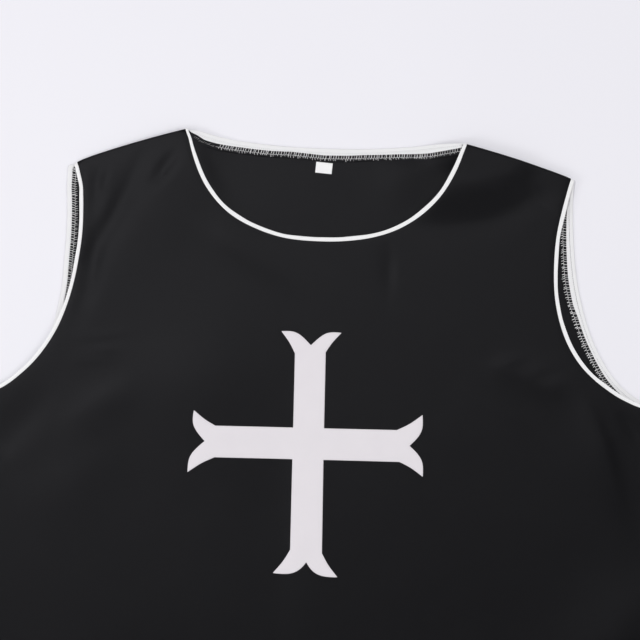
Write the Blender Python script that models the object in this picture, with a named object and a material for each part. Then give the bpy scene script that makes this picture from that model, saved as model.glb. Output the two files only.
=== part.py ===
"""Sleeveless surcoat laid flat with its front up.

Two cloth panels lie on each other. Folded strips bind the neck and the armholes, the seam
allowances of the back show inside them, a forked cross is sewn on the chest and a small bare
tag hangs below the back neck. The draft is in millimetres: x runs to the right seen from
above, y towards the collar, and the zero is midway between the shoulder tips.
"""

import math
from collections import namedtuple

import bmesh
import bpy
import numpy as np
from mathutils import Vector
from mathutils.geometry import delaunay_2d_cdt

MM = 0.001

# Cloth and seams
CLOTH = 1.0             # wall of one layer of cloth
SEAM_GAP = 0.3          # space between two pieces at a seam
LOFT = 1.5              # how far the front panel stands up once it is clear of its seams
LOFT_RUN = 10.0         # distance from a seam in which it rises
BINDING = 3.6           # width of the folded strip that shows
BINDING_HIGH = 1.4      # height of the folded strip on the front
ALLOWANCE = 8.7         # width of the overlocked seam allowance
ALLOWANCE_STOP = 18.0   # the allowance ends this far from a seam that crosses it

# Cut of the panels
UNDERARM_HALF = 310.0
UNDERARM_Y = {-1: -206.0, 1: -201.0}
HEM_HALF = 350.0
HEM_Y = -966.0
HEM_RISE = 20.0         # the hem is this much higher at its corners
CURVE_STEP = 14.0       # spacing of points along a neck or armhole
LINE_STEP = 28.0        # spacing of points along straight edges and inside a panel

# Half of a neck edge: neck point, first handle, and the level run at the lowest point
Neck = namedtuple("Neck", "x y handle_x handle_y level")
NECK_LOW = {"front": (6.0, -60.4), "back": (8.0, 17.5)}
NECKS = {
    ("front", -1): Neck(122.0, 34.8, 102.5, -50.0, 0.40),
    ("front", 1): Neck(126.5, 29.5, 106.5, -37.0, 0.45),
    ("back", -1): Neck(122.0, 34.8, 84.0, 16.5, 0.10),
    ("back", 1): Neck(126.5, 29.5, 62.0, 17.0, 0.10),
}

# Half an armhole: shoulder tip, narrowest place and the pull of its three handles
Armhole = namedtuple("Armhole", "tip_x tip_y narrow narrow_y upper upright level")
ARMHOLES = {
    ("front", -1): Armhole(216.5, 3.8, 209.0, -46.0, 0.70, 0.57, 0.57),
    ("front", 1): Armhole(217.0, 2.2, 205.0, -75.0, 0.35, 0.63, 0.60),
    ("back", -1): Armhole(216.5, 3.8, 220.0, -48.0, 0.70, 0.70, 0.72),
    ("back", 1): Armhole(217.0, 2.2, 217.2, -14.0, 0.25, 0.57, 0.65),
}

# Soft folds of the front panel: middle, direction in degrees, half length, half width, height
Fold = namedtuple("Fold", "x y turn length width height")
FOLDS = [
    Fold(-150.0, -42.0, 54.0, 62.0, 30.0, 1.2),
    Fold(148.0, -12.0, 19.0, 52.0, 20.0, 2.2),
    Fold(190.0, -166.0, -24.0, 46.0, 26.0, 0.8),
    Fold(248.0, -241.0, -71.0, 56.0, 26.0, 1.4),
    Fold(-205.0, -272.0, 52.0, 64.0, 28.0, 1.3),
    Fold(278.0, -405.0, 45.0, 80.0, 46.0, 2.6),
    Fold(-190.0, -560.0, 97.0, 200.0, 44.0, 1.7),
    Fold(60.0, -690.0, 88.0, 210.0, 46.0, 1.7),
    Fold(230.0, -620.0, 81.0, 200.0, 42.0, 1.6),
    Fold(-80.0, -800.0, 99.0, 150.0, 42.0, 1.4),
    Fold(-270.0, -770.0, 98.0, 150.0, 34.0, 1.3),
]

# Cross, cut by eye, so each arm has its own points: the end of its bar, its tip, its notch, the other
# tip, the end of the bar's other side and the inner corner that leads to the next arm
Arm = namedtuple("Arm", "corner tip notch far_tip far_corner inner")
CROSS_ARMS = [
    Arm((75.0, -251.7), (95.8, -264.2), (83.4, -237.3), (94.0, -209.9), (71.9, -223.8), (8.1, -224.2)),
    Arm((7.6, -157.6), (21.1, -140.1), (-5.6, -151.8), (-31.9, -140.2), (-19.4, -159.5), (-19.0, -224.4)),
    Arm((-87.0, -224.6), (-106.2, -211.4), (-96.2, -238.4), (-110.4, -266.2), (-87.0, -252.4),
        (-18.9, -252.2)),
    Arm((-18.5, -331.5), (-33.2, -352.4), (-4.0, -342.0), (23.8, -354.3), (9.5, -333.7), (8.4, -251.9)),
]
FLARE = 0.06            # hollow of the flare behind a tip, as a share of its length
LIP_BULGE = 0.06        # fullness of the lip beside a notch, as a share of the notch's depth
FORK_STEP = 5.0         # spacing of points round a fork

# Bare tag below the back neck
LABEL_MIDDLE = (1.2, 3.4)
LABEL_SIZE = (14.5, 9.2)
LABEL_TURN = -4.5

COLOURS = {
    "black": (0.014, 0.014, 0.016, 1.0),
    "white": (0.86, 0.86, 0.85, 1.0),
    "pale": (0.76, 0.73, 0.76, 1.0),
}


def steps(length, step):
    return max(2, int(round(length / step)))


def bezier(a, b, c, d, step):
    """Points along one curve, without its last one."""
    a, b, c, d = (np.asarray(p, float) for p in (a, b, c, d))
    t = np.linspace(0.0, 1.0, 400)[:, None]
    path = (1 - t) ** 3 * a + 3 * (1 - t) ** 2 * t * b + 3 * (1 - t) * t ** 2 * c + t ** 3 * d
    along = np.concatenate([[0.0], np.cumsum(np.linalg.norm(np.diff(path, axis=0), axis=1))])
    count = steps(along[-1], step)
    at = np.linspace(0.0, along[-1], count + 1)[:-1]
    return np.stack([np.interp(at, along, path[:, k]) for k in (0, 1)], axis=-1)


def line(a, b, step):
    """Points along a straight edge."""
    share = np.linspace(0.0, 1.0, steps(np.linalg.norm(b - a), step) + 1)
    return a + (b - a) * share[:, None]


def neck_half(layer, side):
    """From the neck point down to the lowest point."""
    row = NECKS[layer, side]
    low = NECK_LOW[layer]
    start = (side * row.x, row.y)
    run = (low[0] + row.level * (start[0] - low[0]), low[1])
    return bezier(start, (side * row.handle_x, row.handle_y), run, low, CURVE_STEP)


def armhole(layer, side):
    """From the underarm up to the shoulder tip."""
    row = ARMHOLES[layer, side]
    under = np.array([side * UNDERARM_HALF, UNDERARM_Y[side]])
    slim = np.array([side * row.narrow, row.narrow_y])
    tip = np.array([side * row.tip_x, row.tip_y])
    lower = bezier(under, under + [row.level * (slim[0] - under[0]), 0.0],
                   slim + [0.0, row.upright * (under[1] - slim[1])], slim, CURVE_STEP)
    upper = bezier(slim, slim + [0.0, row.upper * (tip[1] - slim[1])],
                   tip + (slim - tip) * [0.75, 0.5], tip, CURVE_STEP)
    return np.vstack([lower, upper, tip])


def panel_edges(layer):
    """Named edges of a panel, each with both end points, anticlockwise from the left hem corner."""
    corner = {s: np.array([s * HEM_HALF, HEM_Y + HEM_RISE]) for s in (-1, 1)}
    pull = HEM_Y - HEM_RISE / 3.0
    hem = bezier(corner[-1], (-HEM_HALF / 3.0, pull), (HEM_HALF / 3.0, pull), corner[1], LINE_STEP)
    arms = {s: armhole(layer, s) for s in (-1, 1)}
    neck_point = {s: np.array([s * NECKS[layer, s].x, NECKS[layer, s].y]) for s in (-1, 1)}
    edges = {"hem": np.vstack([hem, corner[1]])}
    edges["side_right"] = line(corner[1], arms[1][0], LINE_STEP)
    edges["armhole_right"] = arms[1]
    edges["shoulder_right"] = line(arms[1][-1], neck_point[1], LINE_STEP / 2)
    edges["neck"] = np.vstack([neck_half(layer, 1), [NECK_LOW[layer]], neck_half(layer, -1)[::-1]])
    edges["shoulder_left"] = line(neck_point[-1], arms[-1][-1], LINE_STEP / 2)
    edges["armhole_left"] = arms[-1][::-1]
    edges["side_left"] = line(arms[-1][0], corner[-1], LINE_STEP)
    return edges


def distance(points, path):
    """Least distance from each point to a path of straight pieces."""
    a, b = path[:-1], path[1:]
    span = b - a
    share = np.einsum("pkc,kc->pk", points[:, None] - a[None], span) / (span ** 2).sum(1)
    near = a[None] + np.clip(share, 0.0, 1.0)[..., None] * span[None]
    return np.linalg.norm(points[:, None] - near, axis=2).min(1)


def ease(value):
    value = np.clip(value, 0.0, 1.0)
    return value * value * (3.0 - 2.0 * value)


FRONT = panel_edges("front")
BACK = panel_edges("back")
JOINED = ("side_right", "shoulder_right", "shoulder_left", "side_left", "hem")


def front_under(points):
    """Height of the front panel's underside: it meets the back at its seams and lies loose between."""
    points = np.asarray(points, float).reshape(-1, 2)
    away = np.min([distance(points, FRONT[name]) for name in JOINED], axis=0)
    height = CLOTH + SEAM_GAP + LOFT * ease(away / LOFT_RUN)
    for fold in FOLDS:
        turn = math.radians(fold.turn)
        offset = points - [fold.x, fold.y]
        along = offset @ [math.cos(turn), math.sin(turn)]
        across = offset @ [-math.sin(turn), math.cos(turn)]
        shape = np.exp(-(along / fold.length) ** 2 - (across / fold.width) ** 2)
        height = height + fold.height * shape * ease(away / (3.0 * LOFT_RUN))
    return height


def inside(points, ring):
    """Even-odd test of points against a closed outline."""
    a, b = ring, np.roll(ring, -1, axis=0)
    x, y = points[:, 0][:, None], points[:, 1][:, None]
    spans = (a[None, :, 1] > y) != (b[None, :, 1] > y)
    rise = np.where(b[:, 1] == a[:, 1], 1.0, b[:, 1] - a[:, 1])
    cut = a[None, :, 0] + (y - a[None, :, 1]) / rise[None] * (b[:, 0] - a[:, 0])[None]
    return (spans & (x < cut)).sum(1) % 2 == 1


def normals(path):
    """Unit normals to the right of the path's direction."""
    way = np.gradient(path, axis=0)
    way /= np.linalg.norm(way, axis=1)[:, None]
    return np.stack([way[:, 1], -way[:, 0]], axis=-1)


def triangles(ring, extra):
    """Fills a closed outline with triangles through extra points inside it."""
    points = np.vstack([ring, extra]) if len(extra) else ring
    count = len(ring)
    border = [(k, (k + 1) % count) for k in range(count)]
    verts, _, faces, *_ = delaunay_2d_cdt([Vector(p) for p in points], border, [], 1, 1e-6)
    return np.array([tuple(v) for v in verts]), [tuple(f) for f in faces]


def material(name, colour):
    made = bpy.data.materials.new(name)
    made.use_nodes = True
    shader = made.node_tree.nodes["Principled BSDF"]
    shader.inputs["Base Color"].default_value = COLOURS[colour]
    shader.inputs["Roughness"].default_value = 0.8
    return made


def add_object(name, verts, faces, colour):
    """Adds one mesh in metres, with its faces turned outwards."""
    mesh = bpy.data.meshes.new(name)
    work = bmesh.new()
    made = [work.verts.new(Vector(v) * MM) for v in verts]
    for face in faces:
        work.faces.new([made[k] for k in face])
    bmesh.ops.recalc_face_normals(work, faces=work.faces)
    work.to_mesh(mesh)
    work.free()
    mesh.materials.append(material(name + "_cloth", colour))
    thing = bpy.data.objects.new(name, mesh)
    bpy.context.collection.objects.link(thing)
    return thing


def wall(name, flat, faces, under, thick, colour):
    """Closes a sheet into a wall: the sheet, the same sheet moved up, and a rim between them."""
    low = np.column_stack([flat, under])
    high = np.column_stack([flat, under + thick])
    count = len(flat)
    skin = [tuple(f) for f in faces]
    top = [tuple(k + count for k in f) for f in skin]
    bottom = [tuple(reversed(f)) for f in skin]
    sides = {(f[k], f[(k + 1) % len(f)]) for f in skin for k in range(len(f))}
    rim = [(a, b, b + count, a + count) for a, b in sorted(sides) if (b, a) not in sides]
    return add_object(name, np.vstack([low, high]), top + bottom + rim, colour)


def sweep(name, path, ways, base, section, colour):
    """Carries a closed section (outwards, up) along a path and caps both ends."""
    rings = [[(*(p + w * out), z + up) for out, up in section] for p, w, z in zip(path, ways, base)]
    verts = [v for ring in rings for v in ring]
    n = len(section)
    faces = []
    for r in range(len(rings) - 1):
        for k in range(n):
            j = (k + 1) % n
            faces.append((r * n + k, r * n + j, (r + 1) * n + j, (r + 1) * n + k))
    last = (len(rings) - 1) * n
    faces.append(tuple(range(n)))
    faces.append(tuple(last + k for k in range(n)))
    return add_object(name, verts, faces, colour)


def panel_sheet(edges):
    """Outline, a ring of points inside it and a lattice, filled with triangles."""
    ring = np.vstack([path[:-1] for path in edges.values()])
    lattice = []
    rows = np.arange(HEM_Y, NECKS["front", -1].y, LINE_STEP * 0.87)
    for r, y in enumerate(rows):
        shift = 0.5 * LINE_STEP * (r % 2)
        lattice += [(x + shift, y) for x in np.arange(-HEM_HALF, HEM_HALF, LINE_STEP)]
    lattice = np.array(lattice)
    closed = np.vstack([ring, ring[:1]])
    lattice = lattice[inside(lattice, ring)]
    lattice = lattice[distance(lattice, closed) > LOFT_RUN + 0.45 * LINE_STEP]
    inner = ring - normals(closed)[:-1] * LOFT_RUN
    inner = inner[inside(inner, ring)]
    inner = inner[distance(inner, closed) > 0.9 * LOFT_RUN]
    return triangles(ring, np.vstack([inner, lattice]))


def edge_ways(edges, name, start, end):
    """Outward direction along an edge; its ends follow the seams that cross them."""
    path = edges[name]
    ways = normals(path)
    for k, way in ((0, start), (-1, end)):
        ways[k] = way / np.linalg.norm(way)
    return path, ways


def seam_way(edges, name, towards_end):
    path = edges[name]
    return path[-1] - path[0] if towards_end else path[0] - path[-1]


def trim_ways(edges, name):
    """The edge with directions that run on along the shoulder and side seams."""
    if name == "neck":
        return edge_ways(edges, name, seam_way(edges, "shoulder_right", True),
                         seam_way(edges, "shoulder_left", False))
    if name == "armhole_right":
        return edge_ways(edges, name, seam_way(edges, "side_right", True),
                         seam_way(edges, "shoulder_right", False))
    return edge_ways(edges, name, seam_way(edges, "shoulder_left", True),
                     seam_way(edges, "side_left", False))


def allowance_path(name):
    """The back edge between the seams that cross it, spaced evenly."""
    path = BACK[name]
    along = np.concatenate([[0.0], np.cumsum(np.linalg.norm(np.diff(path, axis=0), axis=1))])
    count = steps(along[-1] - 2 * ALLOWANCE_STOP, CURVE_STEP)
    at = np.linspace(ALLOWANCE_STOP, along[-1] - ALLOWANCE_STOP, count + 1)
    return np.stack([np.interp(at, along, path[:, k]) for k in (0, 1)], axis=-1)


def half_fork(corner, tip, notch, crown):
    """From the bar round one tip towards the notch: a hollow flare, then a full lip."""
    corner, tip, notch, crown = (np.array(p) for p in (corner, tip, notch, crown))
    side = (tip - corner) @ (crown - tip) * (crown - tip)
    middle = (corner + tip) / 2.0 - side / np.linalg.norm(side) * FLARE * np.linalg.norm(tip - corner)
    out = (crown - notch) * LIP_BULGE
    lip = [tip + share * (crown - tip) + out for share in (0.45, 0.55)]
    return np.vstack([bezier(corner, middle, middle, tip, FORK_STEP), bezier(tip, *lip, notch, FORK_STEP)])


def cross_outline():
    rows = []
    for arm in CROSS_ARMS:
        tip, span = np.array(arm.tip), np.array(arm.far_tip) - arm.tip
        crown = tip + span * ((np.array(arm.notch) - tip) @ span) / (span @ span)
        first = half_fork(arm.corner, arm.tip, arm.notch, crown)
        second = half_fork(arm.far_corner, arm.far_tip, arm.notch, crown)
        rows += [first, [arm.notch], second[::-1], [arm.inner]]
    return np.vstack(rows)


def build_panels():
    flat, faces = panel_sheet(BACK)
    wall("back_panel", flat, faces, np.zeros(len(flat)), CLOTH, "black")
    flat, faces = panel_sheet(FRONT)
    wall("front_panel", flat, faces, front_under(flat), CLOTH, "black")


def build_trims():
    near, far = SEAM_GAP, SEAM_GAP + BINDING
    folded = [(near, 0.0), (far - 0.3, 0.0), (far, 0.4), (far, 0.9), (far - 0.7, BINDING_HIGH - 0.1),
              (near + 0.9, BINDING_HIGH), (near, BINDING_HIGH - 0.4)]
    lying = [(near, 0.0), (far, 0.0), (far, CLOTH - 0.3), (far - 0.4, CLOTH), (near, CLOTH)]
    tucked = [(-near, 0.0), (-near, CLOTH), (-near - ALLOWANCE, CLOTH), (-near - ALLOWANCE, 0.0)]
    names = {"neck": "neck_{}_{}", "armhole_left": "armhole_{}_{}_left",
             "armhole_right": "armhole_{}_{}_right"}
    for edge, label in names.items():
        path, ways = trim_ways(FRONT, edge)
        sweep(label.format("binding", "front"), path, ways, front_under(path), folded, "white")
        path, ways = trim_ways(BACK, edge)
        sweep(label.format("binding", "back"), path, ways, np.zeros(len(path)), lying, "white")
        path = allowance_path(edge)
        base = np.full(len(path), CLOTH + SEAM_GAP)
        sweep(label.format("seam_allowance", "back"), path, normals(path), base, tucked, "black")


def build_cross():
    flat, faces = triangles(cross_outline(), [])
    wall("cross_applique", flat, faces, front_under(flat) + CLOTH + SEAM_GAP, CLOTH, "pale")


def build_label():
    turn = math.radians(LABEL_TURN)
    corners = np.array([(-1, -1), (1, -1), (1, 1), (-1, 1)]) * np.array(LABEL_SIZE) / 2.0
    flat = corners @ np.array([[math.cos(turn), math.sin(turn)], [-math.sin(turn), math.cos(turn)]])
    wall("size_label", flat + LABEL_MIDDLE, [(0, 1, 2, 3)], np.full(4, CLOTH + SEAM_GAP), CLOTH, "white")


def centre_all():
    """Moves everything so that the middle of the whole lies over the origin, resting on z = 0."""
    bpy.context.view_layer.update()
    things = [thing for thing in bpy.data.objects if thing.type == "MESH"]
    points = np.array([tuple(v.co) for thing in things for v in thing.data.vertices])
    low, high = points.min(0), points.max(0)
    shift = Vector((-(low[0] + high[0]) / 2.0, -(low[1] + high[1]) / 2.0, -low[2]))
    for thing in things:
        for vert in thing.data.vertices:
            vert.co += shift


for old in list(bpy.data.objects):
    bpy.data.objects.remove(old, do_unlink=True)
build_panels()
build_trims()
build_cross()
build_label()
centre_all()
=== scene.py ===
# %% [markdown]
# # A black sleeveless surcoat, laid flat
#
# The garment is a pull-on surcoat: a front and a back panel, sewn at the shoulders and sides, with a
# narrow white binding round the neck and the armholes and a pale cross with forked ends on the chest.
# It lies on its back on a pale surface and is seen from straight above.
#
# The imported part gives the places and sizes. Here each stiff solid is covered by thin cloth that lies
# on the same form, with its creases, seams, threads and weave. The first cell loads the solids, and
# the last cell prints the box of the finished cloth.

# %% Load the imported part
import math
from collections import namedtuple

import bpy
import numpy as np
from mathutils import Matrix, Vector, noise
from mathutils.geometry import delaunay_2d_cdt


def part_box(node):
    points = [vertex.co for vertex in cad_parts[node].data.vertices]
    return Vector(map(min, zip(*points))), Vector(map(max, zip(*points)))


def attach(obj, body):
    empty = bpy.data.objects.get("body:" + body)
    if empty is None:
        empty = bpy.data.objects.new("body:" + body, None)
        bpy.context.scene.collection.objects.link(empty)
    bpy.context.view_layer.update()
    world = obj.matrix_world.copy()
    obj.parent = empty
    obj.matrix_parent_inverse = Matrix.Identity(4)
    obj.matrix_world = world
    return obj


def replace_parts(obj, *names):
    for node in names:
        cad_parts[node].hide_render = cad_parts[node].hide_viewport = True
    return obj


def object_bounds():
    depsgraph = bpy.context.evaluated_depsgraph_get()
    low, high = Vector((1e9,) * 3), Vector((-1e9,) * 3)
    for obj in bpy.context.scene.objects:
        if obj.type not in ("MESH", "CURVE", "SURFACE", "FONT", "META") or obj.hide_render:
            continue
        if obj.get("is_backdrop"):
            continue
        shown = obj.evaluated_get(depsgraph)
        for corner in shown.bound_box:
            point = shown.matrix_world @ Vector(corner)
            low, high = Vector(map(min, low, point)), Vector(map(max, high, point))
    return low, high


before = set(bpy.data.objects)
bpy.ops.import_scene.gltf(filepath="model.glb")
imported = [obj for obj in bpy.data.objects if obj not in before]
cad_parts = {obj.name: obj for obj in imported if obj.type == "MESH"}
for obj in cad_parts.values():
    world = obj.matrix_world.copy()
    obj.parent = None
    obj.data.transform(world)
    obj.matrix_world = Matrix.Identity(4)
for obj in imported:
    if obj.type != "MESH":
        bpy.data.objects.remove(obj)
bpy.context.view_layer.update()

# %% [markdown]
# ## The draft
#
# A tailor draws the cut flat, in millimetres, before any cloth is touched. The same draft is repeated
# here: neck and armholes are smooth curves between a few measured points, and the other edges are
# straight. Its zero lies midway between the shoulder tips, so one shift brings it into the part's frame:
# the hem of the back panel shows where the draft's hem has to go.

# %% Draft sizes
MM = 0.001
UNDERARM_HALF = 310.0
UNDERARM_Y = {-1: -206.0, 1: -201.0}
HEM_HALF = 350.0
HEM_Y = -966.0
HEM_RISE = 20.0
SHIFT = np.array([0.0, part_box("back_panel")[0].y / MM - HEM_Y])

Neck = namedtuple("Neck", "x y handle_x handle_y level")
NECK_LOW = {"front": (6.0, -60.4), "back": (8.0, 17.5)}
NECKS = {
    ("front", -1): Neck(121.0, 34.3, 102.5, -50.0, 0.40),
    ("front", 1): Neck(125.4, 28.0, 106.5, -37.0, 0.45),
    ("back", -1): Neck(121.0, 34.3, 84.0, 16.5, 0.10),
    ("back", 1): Neck(125.4, 28.0, 62.0, 17.0, 0.10),
}

Armhole = namedtuple("Armhole", "tip_x tip_y narrow narrow_y upper upright level")
ARMHOLES = {
    ("front", -1): Armhole(216.5, 4.6, 209.0, -46.0, 0.70, 0.57, 0.57),
    ("front", 1): Armhole(217.0, 2.2, 205.0, -75.0, 0.35, 0.63, 0.60),
    ("back", -1): Armhole(216.5, 4.6, 220.0, -48.0, 0.70, 0.70, 0.72),
    ("back", 1): Armhole(217.0, 2.2, 217.2, -14.0, 0.25, 0.57, 0.65),
}
print("draft shift, mm:", SHIFT.round(2).tolist())

# %% [markdown]
# A sewn edge never runs exactly as drawn: the needle wanders and the cloth gives. Each table below has
# pairs of a share of the edge's length and a move out of the panel in millimetres. Both panels meet at
# the shoulder tips, which are rounded by the binding that is carried over them.

# %% Wander of the sewn edges
TIPS = {-1: (-215.4, 2.6), 1: (217.8, 0.7)}
WANDER = {
    ("front", "neck"): [
        (0.0, 0.5), (0.15, -1.0), (0.30, -0.8), (0.42, 0.1), (0.51, -0.3), (0.59, -0.8),
        (0.67, -0.1), (0.75, -0.8), (0.85, -0.6), (0.93, 0.7), (1.0, 1.3)],
    ("back", "neck"): [(0.0, 0.0), (1.0, 0.0)],
    ("front", "armhole_right"): [
        (0.0, 0.0), (0.10, 0.2), (0.15, 1.4), (0.23, 2.4), (0.29, 1.9), (0.36, 0.8),
        (0.45, 0.1), (0.59, -0.2), (0.68, 0.3), (0.90, 0.5), (1.0, 0.9)],
    ("back", "armhole_right"): [(0.0, 0.0), (0.30, 0.4), (0.60, -0.4), (0.80, 0.0), (1.0, 0.0)],
    ("front", "armhole_left"): [
        (0.0, -1.4), (0.05, -1.2), (0.12, -0.4), (0.24, -0.6), (0.34, 0.1), (0.47, -0.2),
        (0.58, -0.4), (0.67, 0.2), (0.78, 1.0), (0.86, 0.1), (1.0, 0.0)],
    ("back", "armhole_left"): [
        (0.0, 3.0), (0.03, 3.0), (0.06, 2.1), (0.10, 1.1), (0.13, 0.2), (0.18, -0.3),
        (0.25, -0.3), (0.33, 0.3), (0.42, -0.6), (1.0, 0.0)],
}
print("sewn edges with a table:", len(WANDER))

# %% [markdown]
# A few small tools serve everything that follows: an easy step between two levels, distances along a
# path, the same path with even points, its directions, and the curve with two handles that drawing
# programs use. They work on whole rows of points at once, which keeps thousands of points quick.


# %% Tools for paths
def ease(value):
    """Smooth step from 0 to 1."""
    value = np.clip(value, 0.0, 1.0)
    return value * value * (3.0 - 2.0 * value)


def fade(value):
    """Smooth step from 1 to 0."""
    return 1.0 - ease(value)


def lengths(path):
    """Distance along a path at each of its points."""
    return np.concatenate([[0.0], np.cumsum(np.linalg.norm(np.diff(path, axis=0), axis=1))])


def resample(path, step):
    """The same path with points about one step apart."""
    along = lengths(path)
    at = np.linspace(0.0, along[-1], max(2, int(round(along[-1] / step))) + 1)
    return np.stack([np.interp(at, along, path[:, k]) for k in range(path.shape[1])], axis=-1)


def directions(path):
    """Unit vectors along a path."""
    way = np.gradient(path, axis=0)
    return way / np.linalg.norm(way, axis=1)[:, None]


def normals(path):
    """Unit normals to the right of a path's direction."""
    way = directions(path)
    return np.stack([way[:, 1], -way[:, 0]], axis=-1)


def bezier(a, b, c, d, count=200):
    """Curve from a to d, drawn towards the handles b and c."""
    a, b, c, d = (np.asarray(p, float) for p in (a, b, c, d))
    t = np.linspace(0.0, 1.0, count)[:, None]
    return (1 - t) ** 3 * a + 3 * (1 - t) ** 2 * t * b + 3 * (1 - t) * t ** 2 * c + t ** 3 * d


print("an easy step at a quarter, a half and three quarters:", ease(np.array([0.25, 0.5, 0.75])).tolist())

# %% [markdown]
# Half a neck is one such curve, and an armhole is two, which meet at its narrowest place. Each sewn edge
# is then moved by its table, after a short running average has taken the corners out of the table.

# %% Curves of neck and armholes
TIP_HANDLE = [0.75, 0.5]
WANDER_SMOOTH = 23


def neck_half(layer, side):
    """From a neck point down to the lowest point of the neck."""
    row, low = NECKS[layer, side], NECK_LOW[layer]
    start = (side * row.x, row.y)
    run = (low[0] + row.level * (start[0] - low[0]), low[1])
    return bezier(start, (side * row.handle_x, row.handle_y), run, low)


def armhole(layer, side):
    """From the underarm by the narrowest place to the shoulder tip."""
    row = ARMHOLES[layer, side]
    under = np.array([side * UNDERARM_HALF, UNDERARM_Y[side]])
    slim = np.array([side * row.narrow, row.narrow_y])
    tip = np.array([side * row.tip_x, row.tip_y])
    lower = bezier(under, under + [row.level * (slim[0] - under[0]), 0.0],
                   slim + [0.0, row.upright * (under[1] - slim[1])], slim)
    upper = bezier(slim, slim + [0.0, row.upper * (tip[1] - slim[1])],
                   tip + (slim - tip) * TIP_HANDLE, tip)
    return np.vstack([lower[:-1], upper])


def wandered(layer, name, path):
    """A sewn edge moved out of the panel by small amounts, read from a table."""
    along = lengths(path)
    shares, moves = np.array(WANDER[layer, name]).T
    move = np.interp(along / along[-1], shares, moves)
    kernel = np.hanning(WANDER_SMOOTH) / np.hanning(WANDER_SMOOTH).sum()
    move = np.convolve(np.pad(move, WANDER_SMOOTH // 2, mode="edge"), kernel, mode="valid")
    return path + normals(path) * move[:, None]


print("armhole curves as drawn, mm:", [round(lengths(armhole("front", side))[-1]) for side in (-1, 1)])

# %% [markdown]
# The edges are put together in order round each panel. Front and back have to meet at the underarms, the
# shoulder tips and the neck points, or the seams would gape, so every edge is drawn to the shared point
# over the last part of its length. The shoulder line is bowed a little, as the springy seam is.

# %% Edges of the two panels
UNDERARM_PULL = 0.08
END_PULL = 0.03
SHOULDER_BOW = 1.6
TIP_TURN = 0.07


def panel_edges(layer):
    """Named edges, anticlockwise from the left hem corner."""
    corner = {s: np.array([s * HEM_HALF, HEM_Y + HEM_RISE]) for s in (-1, 1)}
    pull = HEM_Y - HEM_RISE / 3.0
    arm = {s: armhole(layer, s) for s in (-1, 1)}
    half = {s: neck_half(layer, s) for s in (-1, 1)}
    neck = np.vstack([half[1][:-1], half[-1][::-1]])
    sewn = {
        "armhole_right": wandered(layer, "armhole_right", arm[1]),
        "neck": wandered(layer, "neck", neck),
        "armhole_left": wandered(layer, "armhole_left", arm[-1][::-1]),
    }
    for side, name in ((1, "armhole_right"), (-1, "armhole_left")):
        run = sewn[name] if side > 0 else sewn[name][::-1]
        share = lengths(run) / lengths(run)[-1]
        run += np.outer(ease(1.0 - share / UNDERARM_PULL), arm[side][0] - run[0])
        run += np.outer(ease(1.0 - (1.0 - share) / END_PULL), np.array(TIPS[side]) - run[-1])
    ends = {1: sewn["neck"][0].copy(), -1: sewn["neck"][-1].copy()}
    for side, end in ends.items():
        share = lengths(sewn["neck"]) / lengths(sewn["neck"])[-1]
        near = share if side > 0 else 1.0 - share
        sewn["neck"] += np.outer(ease(1.0 - near / END_PULL), half[side][0] - end)

    def shoulder(side):
        start, drawn = half[side][0], arm[side][-1]
        bowed = start + (drawn - start) / 2.0 + [0.0, SHOULDER_BOW]
        return bezier(start, bowed, drawn + (start - drawn) * TIP_TURN, TIPS[side])

    return {
        "hem": bezier(corner[-1], (-HEM_HALF / 3.0, pull), (HEM_HALF / 3.0, pull), corner[1]),
        "side_right": np.array([corner[1], arm[1][0]]),
        "armhole_right": sewn["armhole_right"],
        "shoulder_right": shoulder(1)[::-1],
        "neck": sewn["neck"],
        "shoulder_left": shoulder(-1),
        "armhole_left": sewn["armhole_left"],
        "side_left": np.array([arm[-1][0], corner[-1]]),
    }


FRONT = panel_edges("front")
BACK = panel_edges("back")
print("front neck edge, mm:", round(lengths(FRONT["neck"])[-1]),
      " side seam:", round(lengths(FRONT["side_left"])[-1]))

# %% [markdown]
# ## How the cloth lies
#
# Laid cloth isn't flat. It stands off the layer below by a millimetre or two, dips at its seams and
# keeps soft ridges and troughs from folding and handling. A cloth simulation could make such creases,
# but not where the real ones are, so each is a row in a table: its middle, direction, half length, half
# width and height. A trough has a negative height. Bend curves the crease, and lean makes one flank
# steeper than the other, which is what makes it look like cloth and not like a wave.

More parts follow.
